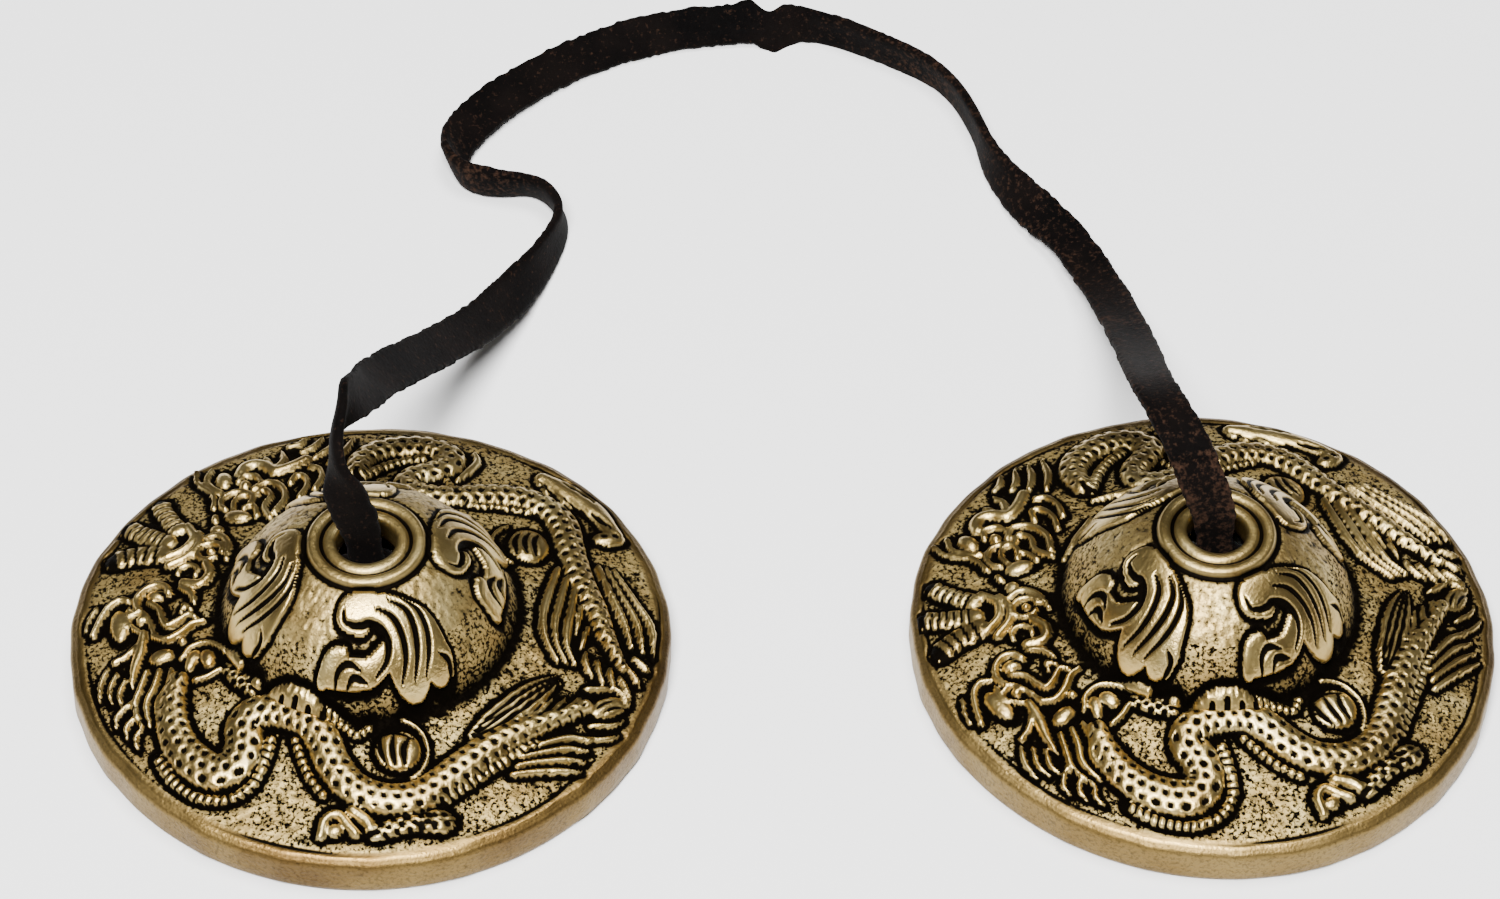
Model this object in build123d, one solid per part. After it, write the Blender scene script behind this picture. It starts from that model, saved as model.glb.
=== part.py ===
from build123d import *

import os
from math import pi, radians, sqrt, tan

# Finger cymbals: a pair of cast bronze tingsha joined by one flat leather thong.
#
# Each cymbal is a shallow cone with a domed boss, resting on its rim with the boss up. The thong
# comes up through the hole of each boss, where a knot under the boss keeps it, arches back over
# the rim and lies on the surface behind the pair in loose bends.
#
# Millimetres, +Z up. The origin is midway between the two cymbals, on the surface they rest on.
# +X runs from the left cymbal to the right one, and the thong lies behind them, towards +Y.

# Driving dimensions of one cymbal
rim_radius = 35.0
rim_height = 4.8
rim_rounding = 0.6
boss_sphere_radius = 18.0
boss_sphere_height = 4.5  # height of the centre of the boss's sphere above the surface
boss_foot_radius = 17.3
boss_foot_fillet = 2.5
hole_radius = 3.45
crown_radius = 7.1  # two raised rings fill the crown, from here to the hole
outer_ring_inside = 5.9
inner_ring_outside = 5.2
inner_ring_inside = 3.8
ring_rise = 0.5
groove_depth = 0.35

# Hollow underside
land_radius = 32.5  # the rim rests on a flat band from here out to the edge
hollow_sphere_radius = 14.4
hollow_cone_radius = 14.3  # where the conical underside meets the hollow of the boss

# The pair and its thong
cymbal_spacing = 98.5
thong_width = 5.8
thong_radius = thong_width / 2
thong_end_top = 25.5  # the stretch that bends when the thong is lifted ends here
knot_radius = 5.6
knot_rounding = 3.2
knot_bottom = 9.5
knot_top = 18.3  # just under the hole, where the thong leaves the knot

cymbal_x = cymbal_spacing / 2

# The thong's route from the left cymbal to the right one, corner by corner
thong_route = [
    (-cymbal_x, 0.0, thong_end_top),
    (-cymbal_x, 0.0, 30.6),
    (-50.7, 3.0, 34.5),
    (-52.7, 8.6, 35.2),
    (-52.9, 13.8, 32.2),
    (-50.8, 20.4, 27.4),
    (-47.4, 28.4, 21.4),
    (-43.0, 37.6, 14.8),
    (-37.8, 48.0, 8.2),
    (-32.6, 58.8, 3.6),
    (-27.4, 67.2, 2.9),
    (-25.8, 74.0, 2.9),
    (-29.4, 79.2, 2.9),
    (-35.9, 80.4, 2.9),
    (-41.5, 84.4, 2.9),
    (-41.8, 91.4, 2.9),
    (-36.0, 96.8, 2.9),
    (-26.0, 103.6, 2.9),
    (-14.0, 109.0, 2.9),
    (-2.0, 110.2, 2.9),
    (8.6, 110.0, 2.9),
    (17.0, 103.6, 2.9),
    (24.8, 98.8, 2.9),
    (28.0, 91.0, 2.9),
    (29.4, 82.4, 2.9),
    (33.2, 75.4, 2.9),
    (38.2, 68.8, 2.9),
    (41.6, 59.4, 3.6),
    (43.2, 48.8, 8.0),
    (43.8, 38.2, 14.2),
    (43.6, 28.6, 20.8),
    (43.3, 20.4, 27.0),
    (43.6, 13.8, 32.0),
    (45.2, 8.0, 35.0),
    (47.6, 3.0, 34.4),
    (cymbal_x, 0.0, 30.6),
    (cymbal_x, 0.0, thong_end_top),
]


def boss_height_at(radius):
    """Height of the boss's sphere at a distance from the cymbal's axis."""
    return boss_sphere_height + sqrt(boss_sphere_radius**2 - radius**2)


def hollow_height_at(radius):
    """Height of the hollow under the boss at a distance from the cymbal's axis."""
    return boss_sphere_height + sqrt(hollow_sphere_radius**2 - radius**2)


def sphere_arc(start, end, height_at):
    """Arc of the profile along a sphere on the axis, between two radii."""
    middle = (start + end) / 2
    return ThreePointArc((start, height_at(start)), (middle, height_at(middle)), (end, height_at(end)))


def level_arc(start, end, foot, rise):
    """Arc of the profile between two radii at one height, bulging up by rise."""
    return ThreePointArc((start, foot), ((start + end) / 2, foot + rise), (end, foot))


def make_cymbal():
    """One cymbal, revolved about its own axis from a profile of radius and height."""
    crown_height = boss_height_at(crown_radius)
    hole_top = crown_height - groove_depth
    profile = [
        Line((land_radius, 0), (rim_radius, 0)),
        Line((rim_radius, 0), (rim_radius, rim_height)),
        Line((rim_radius, rim_height), (boss_foot_radius, boss_height_at(boss_foot_radius))),
        sphere_arc(boss_foot_radius, crown_radius, boss_height_at),
        level_arc(crown_radius, outer_ring_inside, crown_height, ring_rise),
        level_arc(outer_ring_inside, inner_ring_outside, crown_height, -groove_depth),
        level_arc(inner_ring_outside, inner_ring_inside, crown_height, ring_rise),
        Line((inner_ring_inside, crown_height), (hole_radius, hole_top)),
        Line((hole_radius, hole_top), (hole_radius, hollow_height_at(hole_radius))),
        sphere_arc(hole_radius, hollow_cone_radius, hollow_height_at),
        Line((hollow_cone_radius, hollow_height_at(hollow_cone_radius)), (land_radius, 0)),
    ]
    section = make_face(profile)
    foot_corner = section.vertices().sort_by_distance((boss_foot_radius, boss_height_at(boss_foot_radius)))[0]
    section = fillet(foot_corner, boss_foot_fillet)
    rim_corners = section.vertices().filter_by(lambda corner: abs(corner.X - rim_radius) < 0.01)
    section = fillet(rim_corners, rim_rounding)
    return revolve(Plane.XZ * section, Axis.Z)


def make_thong_end():
    """The straight stretch of thong from the top of the knot up through the hole."""
    length = thong_end_top - knot_top
    return Pos(0, 0, knot_top + length / 2) * Cylinder(thong_radius, length)


def make_knot():
    """Rounded outer shape of the knot under the boss."""
    height = knot_top - knot_bottom
    knot = Pos(0, 0, knot_bottom + height / 2) * Cylinder(knot_radius, height)
    return fillet(knot.edges().filter_by(GeomType.CIRCLE), knot_rounding)


def bend_radii(route):
    """Radius of the arc at each inner corner of a route, as large as its two runs allow."""
    points = [Vector(*point) for point in route]
    radii = []
    for before, corner, after in zip(points, points[1:], points[2:]):
        arriving = corner - before
        leaving = after - corner
        turn = radians(arriving.get_angle(leaving))
        radii.append(0.45 * min(arriving.length, leaving.length) / tan(turn / 2))
    return radii


def make_thong():
    """The thong between the two ends, as a round tube as wide as the thong."""
    radii = bend_radii(thong_route)
    print("thong bend radii", [round(radius, 1) for radius in radii])
    path = FilletPolyline(*thong_route, radius=radii)
    tube = sweep(Plane(path @ 0, z_dir=path % 0) * Circle(thong_radius), path=path)
    print("thong length", round(path.length, 1))
    print("thong volume", round(tube.volume, 1), "of", round(pi * thong_radius**2 * path.length, 1))
    return tube


def main():
    os.makedirs("parts", exist_ok=True)
    export_step(make_thong(), "parts/thong.step")
    for side, x in (("left", -cymbal_x), ("right", cymbal_x)):
        export_step(Pos(x, 0, 0) * make_cymbal(), f"parts/{side}_cymbal.step")
        export_step(Pos(x, 0, 0) * make_thong_end(), f"parts/{side}_thong_end.step")
        export_step(Pos(x, 0, 0) * make_knot(), f"parts/{side}_stopper_knot.step")


main()
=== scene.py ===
"""Finger cymbals: two cast bronze cymbals with dragons in relief, joined by a flat leather thong.

Lengths are in millimetres while a shape is worked out, and its mesh is written in metres.
"""
from math import cos, pi, radians, sin

import bpy
import numpy as np
from mathutils import Matrix, Vector


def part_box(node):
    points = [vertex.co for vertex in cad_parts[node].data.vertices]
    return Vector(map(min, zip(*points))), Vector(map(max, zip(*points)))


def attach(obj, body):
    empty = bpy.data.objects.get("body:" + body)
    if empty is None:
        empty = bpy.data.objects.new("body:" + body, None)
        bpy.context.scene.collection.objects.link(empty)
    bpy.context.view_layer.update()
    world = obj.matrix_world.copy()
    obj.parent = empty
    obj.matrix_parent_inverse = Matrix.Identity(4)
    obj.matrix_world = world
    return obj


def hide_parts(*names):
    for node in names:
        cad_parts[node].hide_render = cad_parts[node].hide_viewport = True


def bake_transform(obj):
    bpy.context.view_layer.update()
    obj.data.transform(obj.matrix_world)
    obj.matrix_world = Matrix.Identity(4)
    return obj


MM = 0.001
random = np.random.default_rng(7)
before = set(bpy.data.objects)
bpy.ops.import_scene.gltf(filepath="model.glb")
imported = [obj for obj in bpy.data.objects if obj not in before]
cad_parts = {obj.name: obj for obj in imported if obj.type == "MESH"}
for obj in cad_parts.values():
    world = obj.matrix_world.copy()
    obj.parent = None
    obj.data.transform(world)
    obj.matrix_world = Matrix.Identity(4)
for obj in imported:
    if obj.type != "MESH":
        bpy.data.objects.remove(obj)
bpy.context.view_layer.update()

# ---------------------------------------------------------------- sizes in millimetres
RIM_RADIUS = 35.0
RIM_HEIGHT = 4.8
RIM_ROUNDING = 0.9
BOSS_SPHERE_RADIUS = 18.0
BOSS_SPHERE_HEIGHT = 4.5
BOSS_FOOT_RADIUS = 17.3
CROWN_RADIUS = 7.1
CROWN_GROOVE_RADIUS = 7.2
OUTER_RING_RADIUS = 6.15
INNER_RING_RADIUS = 4.2
RING_HALF_WIDTH = 0.75
HOLE_RADIUS = 3.45
LAND_RADIUS = 32.5
HOLLOW_RADIUS = 14.4
HOLLOW_CONE_RADIUS = 14.3

SECTORS = 640  # points round each ring of a cymbal
RING_SPACING = 0.29
LINE_STEP = 0.1
OUTLINE_REACH = 0.9
OUTLINE_FADE = 0.38
RELIEF_SCALE = 1.25
RINGS_END_RADIUS = 7.9
PLAIN_EDGE_RADIUS = 33.0
SCORED_RADIUS = 33.4
DOT_SPACING = 1.5
RIB_SPACING = 0.75

THONG_WIDTH = 5.4
THONG_THICKNESS = 1.25
THONG_STEP = 0.25
CLEARANCE = 0.03  # least height of the thong above the table
EXIT_HEIGHT = 25.5  # where the thong leaves a hole, on the axis it folds about


# ---------------------------------------------------------------- helpers
def mesh_object(name, vertices_mm, faces):
    """A smooth shaded object from vertices in millimetres."""
    mesh = bpy.data.meshes.new(name)
    mesh.from_pydata((np.asarray(vertices_mm) * MM).tolist(), [], faces)
    mesh.update()
    mesh.shade_smooth()
    piece = bpy.data.objects.new(name, mesh)
    bpy.context.scene.collection.objects.link(piece)
    return piece


def add_attribute(piece, name, values):
    """One number for each vertex, which the material reads."""
    attribute = piece.data.attributes.new(name, "FLOAT", "POINT")
    attribute.data.foreach_set("value", np.asarray(values, np.float32).ravel())


def ring_faces(count, columns, joined=False):
    """Quads between each ring of points and the next; joined also closes the last ring to the first."""
    faces = []
    for number in range(count if joined else count - 1):
        here = number * columns
        beyond = (number + 1) % count * columns
        for column in range(columns):
            following = (column + 1) % columns
            faces.append((here + column, here + following, beyond + following, beyond + column))
    return faces


def smooth_line(points):
    """Closely spaced points along a smooth curve through the given points."""
    given = np.array(points, float)
    ends = np.vstack([2 * given[0] - given[1], given, 2 * given[-1] - given[-2]])
    pieces = []
    for before, start, end, after in zip(ends, ends[1:], ends[2:], ends[3:]):
        count = max(2, int(np.linalg.norm(end - start) / LINE_STEP))
        t = np.linspace(0, 1, count, endpoint=False)[:, None]
        pieces.append(0.5 * (
            2 * start
            + (end - before) * t
            + (2 * before - 5 * start + 4 * end - after) * t**2
            + (3 * start - before - 3 * end + after) * t**3
        ))
    return np.vstack(pieces + [given[-1:]])


# ---------------------------------------------------------------- profile of a cymbal
def boss_height(radius):
    """Height of the sphere that the boss is part of."""
    return BOSS_SPHERE_HEIGHT + np.sqrt(np.maximum(BOSS_SPHERE_RADIUS**2 - radius**2, 0))


def top_height(radius):
    """Height of the smooth upper face, from the hole to the rim."""
    foot = BOSS_SPHERE_HEIGHT + np.sqrt(BOSS_SPHERE_RADIUS**2 - BOSS_FOOT_RADIUS**2)
    cone = foot + (RIM_HEIGHT - foot) * (radius - BOSS_FOOT_RADIUS) / (RIM_RADIUS - BOSS_FOOT_RADIUS)
    # The dome ends just inside its sphere's equator and drops steeply from there, below the cone
    dome_end = BOSS_SPHERE_RADIUS - 0.1
    dome = boss_height(np.minimum(radius, dome_end)) - 6 * np.maximum(radius - dome_end, 0)
    softness = 0.15
    height = (cone + dome + np.sqrt((cone - dome)**2 + softness)) / 2
    crown = boss_height(CROWN_RADIUS)
    outer_ring = 0.6 * np.clip(1 - ((radius - OUTER_RING_RADIUS) / RING_HALF_WIDTH)**4, 0, 1)**0.5
    inner_ring = 0.5 * np.clip(1 - ((radius - INNER_RING_RADIUS) / RING_HALF_WIDTH)**4, 0, 1)**0.5
    crown_groove = 0.35 * np.exp(-((radius - CROWN_GROOVE_RADIUS) / 0.3)**2)
    flat = np.minimum(crown, height) + outer_ring + inner_ring - crown_groove
    crown_end = 9
    return np.where(radius < crown_end, flat, height)


def upper_rings():
    """Radii of the upper face's rings, evenly spaced along its slope."""
    radius = np.linspace(HOLE_RADIUS + 0.1, RIM_RADIUS - RIM_ROUNDING, 4000)
    slope = np.gradient(top_height(radius), radius)
    travel = np.cumsum(np.sqrt(1 + np.clip(slope, -3, 3)**2)) * (radius[1] - radius[0])
    count = int(travel[-1] / RING_SPACING)
    return np.interp(np.linspace(travel[0], travel[-1], count), travel, radius)


rings = upper_rings()
angles = np.arange(SECTORS) * 2 * pi / SECTORS
east = rings[:, None] * np.cos(angles)[None, :]
north = rings[:, None] * np.sin(angles)[None, :]

# ---------------------------------------------------------------- relief of a cymbal
raised = np.zeros_like(east)  # how far the cast figures stand up
ditch = np.zeros_like(east)  # the outline sunk round them
cut = np.zeros_like(east)  # dots and lines cut into them


def near_line(points, reach):
    """The grid points within reach of a line: their index, distance, travel and side offset."""
    line = smooth_line(points)
    low = line.min(axis=0) - reach
    high = line.max(axis=0) + reach
    inside = (east > low[0]) & (east < high[0]) & (north > low[1]) & (north < high[1])
    where = np.flatnonzero(inside)
    place = np.stack([east.ravel()[where], north.ravel()[where]], -1)
    distance = np.full(len(where), np.inf)
    nearest = np.zeros(len(where), int)
    # The line is taken in blocks, which keeps the tables of distances small
    block_size = 64
    for first in range(0, len(line), block_size):
        block = line[first:first + block_size]
        gap = np.hypot(place[:, None, 0] - block[None, :, 0], place[:, None, 1] - block[None, :, 1])
        best = gap.argmin(axis=1)
        value = gap[np.arange(len(where)), best]
        closer = value < distance
        distance[closer] = value[closer]
        nearest[closer] = best[closer] + first
    steps = np.linalg.norm(np.diff(line, axis=0), axis=1)
    travels = np.concatenate([[0], np.cumsum(steps)])
    heading = np.gradient(line, axis=0)
    heading /= np.linalg.norm(heading, axis=1)[:, None]
    away = place - line[nearest]
    side = heading[nearest, 0] * away[:, 1] - heading[nearest, 1] * away[:, 0]
    keep = distance < reach
    return where[keep], distance[keep], travels[nearest[keep]], side[keep], travels[-1]


def deepen(layer, where, values):
    """Keeps the larger of a layer and new values."""
    flat = layer.ravel()
    flat[where] = np.maximum(flat[where], values)


def band(points, half_width, rise, taper=(1, 1), outline=0.34, roundness=0.6):
    """A raised rounded band along a line, with a sunk outline; taper scales its width along it."""
    widest = half_width * max(taper)
    where, distance, travel, side, length = near_line(points, widest + OUTLINE_REACH)
    half = half_width * np.interp(travel / length, np.linspace(0, 1, len(taper)), taper)
    inside = np.clip(1 - (distance / half)**2, 0, 1)
    deepen(raised, where, rise * inside**roundness)
    beyond = np.clip(distance - half, 0, None)
    deepen(ditch, where, outline * np.exp(-(beyond / OUTLINE_FADE)**2))
    return where, distance, travel, side, half


def groove(points, half_width, depth=0.3, taper=(0.3, 1, 1, 0.3)):
    """A line cut into whatever stands there."""
    where, distance, travel, _, length = near_line(points, half_width * 2)
    half = half_width * np.interp(travel / length, np.linspace(0, 1, len(taper)), taper)
    deepen(cut, where, depth * np.clip(1 - (distance / (1.6 * half))**2, 0, 1))


def strands(first_line, last_line, count, half_width, rise):
    """Raised locks side by side, spread evenly between two guide lines, parted by cut lines."""
    first_line = np.array(first_line, float)
    spread = np.array(last_line, float) - first_line
    for number in range(count):
        band(first_line + spread * number / (count - 1), half_width, rise, (0.7, 1, 1, 0.4))
    for number in range(count - 1):
        groove(first_line + spread * (number + 0.5) / (count - 1), 0.2, 0.45, (0.6, 1, 1, 0.8))


def ball(centre, radii, rise, turn=0.0, outline=0.32):
    """A rounded lump, elliptical in plan."""
    x = east - centre[0]
    y = north - centre[1]
    along = (x * cos(radians(turn)) + y * sin(radians(turn))) / radii[0]
    across = (y * cos(radians(turn)) - x * sin(radians(turn))) / radii[1]
    reach = np.hypot(along, across)
    inside = np.clip(1 - reach**2, 0, 1)
    raised[:] = np.maximum(raised, rise * inside**0.55)
    beyond = np.clip(reach - 1, 0, None) * min(radii)
    ditch[:] = np.maximum(ditch, outline * np.exp(-(beyond / 0.4)**2) * (reach < 4))


def ring_line(centre, radius, start, end):
    """Twelve points of an arc round a centre, from one angle to another in degrees."""
    turns = np.radians(np.linspace(start, end, 12))
    return [(centre[0] + radius * cos(turn), centre[1] + radius * sin(turn)) for turn in turns]


def dotted_body(points, half_width, rise, taper):
    """A dragon's body: a rounded band with three rows of punched dots and ribbed flanks."""
    where, distance, travel, side, half = band(points, half_width, rise, taper, roundness=0.42)
    for row, offset in enumerate((-0.62, 0.0, 0.62)):
        phase = travel / DOT_SPACING + 0.5 * (row % 2)
        along = (phase - np.floor(phase) - 0.5) * DOT_SPACING
        reach = np.hypot(along, side - offset * half)
        size = (0.42 + 0.07 * np.sin(3 * np.floor(phase) + row)) * np.clip(half / half_width, 0.6, 1)
        deepen(cut, where, 0.42 * np.clip(1 - (reach / size)**2, 0, 1)**0.5)
    flank = np.clip((np.abs(side) / half - 0.8) / 0.1, 0, 1) * (distance < half)
    deepen(cut, where, 0.12 * flank * (np.cos(2 * pi * travel / RIB_SPACING) > 0.1))


def ladder(points, half_width, rise, spacing=0.95):
    """A raised strip with rungs across it, as on a dragon's belly."""
    where, distance, travel, _, half = band(points, half_width, rise, roundness=0.3)
    rung = np.clip(np.cos(2 * pi * travel / spacing) * 1.6 - 0.5, 0, 1)
    deepen(cut, where, 0.38 * rung * (distance < half * 0.95))


def front_dragon():
    """The dragon whose body loops across the front, head to the west and tail to the east."""
    dotted_body(
        [(-21.9, -9.3), (-22.5, -12), (-22.4, -15.5), (-21.2, -18.8), (-19.2, -21.2), (-16.9, -22.3),
         (-14.8, -21.2), (-14.1, -18.8), (-14.2, -16.8), (-13.2, -15.4), (-11.2, -15.1), (-8.9, -15.8),
         (-6.6, -17.2), (-5, -19.4), (-4, -22), (-2.3, -24.6), (0.2, -26.3), (3.2, -26.9),
         (6.2, -26.3), (9.2, -24.2), (12.2, -21.6), (15.6, -18.7), (19.2, -16.6), (22.6, -14.6),
         (25, -13.2)],
        2.3, 1.0, (0.55, 0.85, 1, 1, 0.95, 0.85, 0.9, 0.85, 0.85, 0.9, 0.85, 0.6, 0.4),
    )
    ladder([(-24.2, -19.4), (-22.4, -22.6), (-19.6, -25.1), (-16, -25.9), (-13, -24.2),
            (-11.6, -21.2), (-10.9, -18.4)], 0.65, 0.5)
    ladder([(-8.4, -18.8), (-7.6, -21.2), (-6.6, -23.8), (-5, -26.2)], 0.5, 0.45)
    ladder([(8.8, -27), (12.6, -24.1), (16.4, -21.1), (19.4, -18.7)], 0.55, 0.4)
    # Pearl in its dish, with curved strokes on it
    ball((3.6, -20.9), (2.7, 2.5), 0.7, outline=0.5)
    band(ring_line((3.1, -20.9), 3.9, -60, 75), 0.25, 0.35)
    groove([(1.6, -19.2), (1.5, -20.8), (2.2, -22.6)], 0.25, 0.4)
    groove([(3, -19), (2.9, -21), (3.3, -23)], 0.25, 0.4)
    groove([(4.9, -19.3), (4.2, -20.8), (4.4, -22.8)], 0.3, 0.4)
    groove([(1, -19), (3.4, -18.8), (5.6, -19.6)], 0.2, 0.35)
    ladder([(-4.8, -16.6), (-2.8, -17.6), (-1.2, -18.9), (0.2, -18.2)], 0.5, 0.4, 0.8)
    # Legs and paws under the body
    band([(-5.2, -31.2), (-4.7, -29.3), (-3.3, -28.6), (-2.1, -30), (-1.2, -31)], 0.65, 0.6)
    ball((-3.6, -30.6), (1.1, 0.9), 0.5)
    band([(-1.6, -28.2), (0.1, -29.6), (0.7, -31.2)], 0.75, 0.6)
    dotted_body([(1.2, -31), (3.6, -30.2), (6, -29.8), (8.2, -29.6)], 1.15, 0.6, (0.9, 1, 1, 1))
    ball((8.2, -29.5), (2.1, 1.5), 0.75)
    for x, y in ((7.1, -28.9), (8.8, -28.8), (7.7, -30), (9.2, -29.9), (6.2, -30)):
        groove([(x, y), (x + 0.1, y)], 0.36, 0.35, (1, 1))
    # Leaf shaped flame above the tail, and smaller leaves beside it
    strands([(12.4, -19), (15.4, -17.2), (18, -15), (20.2, -12.6), (22, -10.2)],
            [(11.8, -18.6), (13.7, -16), (16.4, -13.2), (19, -11), (21.6, -9.6)], 4, 0.5, 0.65)
    strands([(18.4, -15.8), (19.8, -14.6), (21.2, -12.8)],
            [(22.8, -14.2), (23.5, -13.2), (24.4, -12)], 3, 0.45, 0.55)
    # Locks below the tail
    strands([(16.6, -23.2), (19.2, -22.6), (22.2, -22.2), (24.6, -22)],
            [(18.4, -19.6), (20.8, -18.6), (23.4, -17.6), (25.8, -17.8)], 4, 0.5, 0.55)
    groove([(20.8, -22.4), (20.7, -24), (20.6, -25.3)], 0.28, 0.3)
    groove([(21.9, -22.6), (22.2, -23.8)], 0.26, 0.3)
    ball((27.6, -12.7), (2.5, 1.4), 0.55, 25)
    groove([(26, -13.6), (27.2, -12.4), (28.6, -11.7)], 0.2)
    groove([(27, -13.8), (28.2, -12.9), (29.6, -12.5)], 0.2)
    groove([(25.7, -13), (26.6, -11.8), (27.8, -11.4)], 0.2)
    strands([(25.6, -15.6), (27, -15.4), (28.6, -15), (29.6, -14.2)],
            [(24.6, -17.4), (26.2, -17.4), (28, -17), (29, -16.4)], 2, 0.34, 0.45)


def front_head():
    """Head of the front dragon, seen from its side with the snout to the east."""
    band([(-32.1, -0.3), (-31.4, 1.8), (-30.4, 3.8), (-29, 4.6), (-28.1, 4.1)], 0.45, 0.6)
    band([(-33, 0.6), (-32.8, 2.2), (-31.9, 4)], 0.3, 0.4)
    ball((-29.1, 0.6), (1.2, 2.5), 0.55, 5)
    band([(-28, 2.8), (-28, 0.6), (-26.7, -1)], 0.32, 0.6)
    band([(-27.6, 1.7), (-26.5, 1.9), (-25.5, 0.2), (-24.9, -2)], 0.38, 0.65)
    ball((-26.5, 0.6), (0.75, 0.7), 0.7)
    band([(-26.8, 2), (-27.2, 3.8), (-26.4, 5.2), (-25, 5.8), (-23.8, 5.3), (-23.4, 4.1)], 0.5, 0.75)
    ball((-24.8, 4.1), (1.4, 0.85), 0.7, -15)
    groove([(-24.7, 4.6), (-24, 3.9), (-23.7, 3.1)], 0.2, 0.35)
    band([(-25.7, 3.1), (-24.5, 1.9), (-24, 0.2), (-23.4, -1), (-22.1, -0.6), (-20.8, 0.1), (-20.1, -0.6)],
         0.5, 0.75, (0.8, 1, 1, 0.7))
    band([(-25, -2.2), (-23.5, -3), (-21.9, -2.5), (-20.4, -1.4), (-19, -1.3)], 0.55, 0.7, (0.7, 1, 0.9, 0.4))
    band([(-21.9, 0.9), (-21.5, 2), (-20.8, 1)], 0.28, 0.5)
    band([(-22.2, 4.9), (-20.9, 3.8), (-20.4, 2)], 0.6, 0.5, (0.5, 1, 0.5))
    ball((-24, -5.4), (1.6, 1.1), 0.6, 10)
    ball((-21.6, -3.6), (0.6, 0.6), 0.5)
    band([(-26.2, -1.4), (-26.5, -4), (-27.1, -6.5), (-27.3, -9)], 0.8, 0.6, (0.7, 1, 0.8, 0.3))
    band([(-27, -3.2), (-28.2, -4.4), (-29.6, -5)], 0.4, 0.5)
    # Mane
    strands([(-25.6, -7.2), (-26.3, -9.5), (-26.9, -12), (-26, -15)],
            [(-22.7, -7.6), (-23.1, -9.8), (-24.2, -12), (-24.2, -14.8)], 3, 0.48, 0.6)
    strands([(-30.2, -5.8), (-31, -8), (-31, -10.4)],
            [(-28.1, -7.8), (-28.8, -10), (-28.3, -12)], 3, 0.36, 0.5)
    strands([(-27.3, -11.2), (-28.9, -12.8), (-29, -14.4)],
            [(-26, -15.2), (-26.8, -16.4), (-26.4, -17.8)], 3, 0.36, 0.5)
    # Small paw held under the snout, on a dotted leg
    band([(-21.6, -6.2), (-20.4, -4.7), (-18.2, -4.6), (-16.2, -6.6), (-14.6, -9)], 0.36, 0.5)
    ball((-20.4, -6.7), (0.85, 1.6), 0.55, -20)
    ball((-18.6, -6.8), (0.95, 1.4), 0.6, 15)
    band([(-20, -9.6), (-18.4, -9.3), (-17, -8.7), (-15.8, -9.4)], 0.4, 0.5)
    dotted_body([(-16.4, -8.6), (-15, -10.4), (-13.2, -12)], 0.9, 0.55, (0.8, 1, 1))


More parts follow.
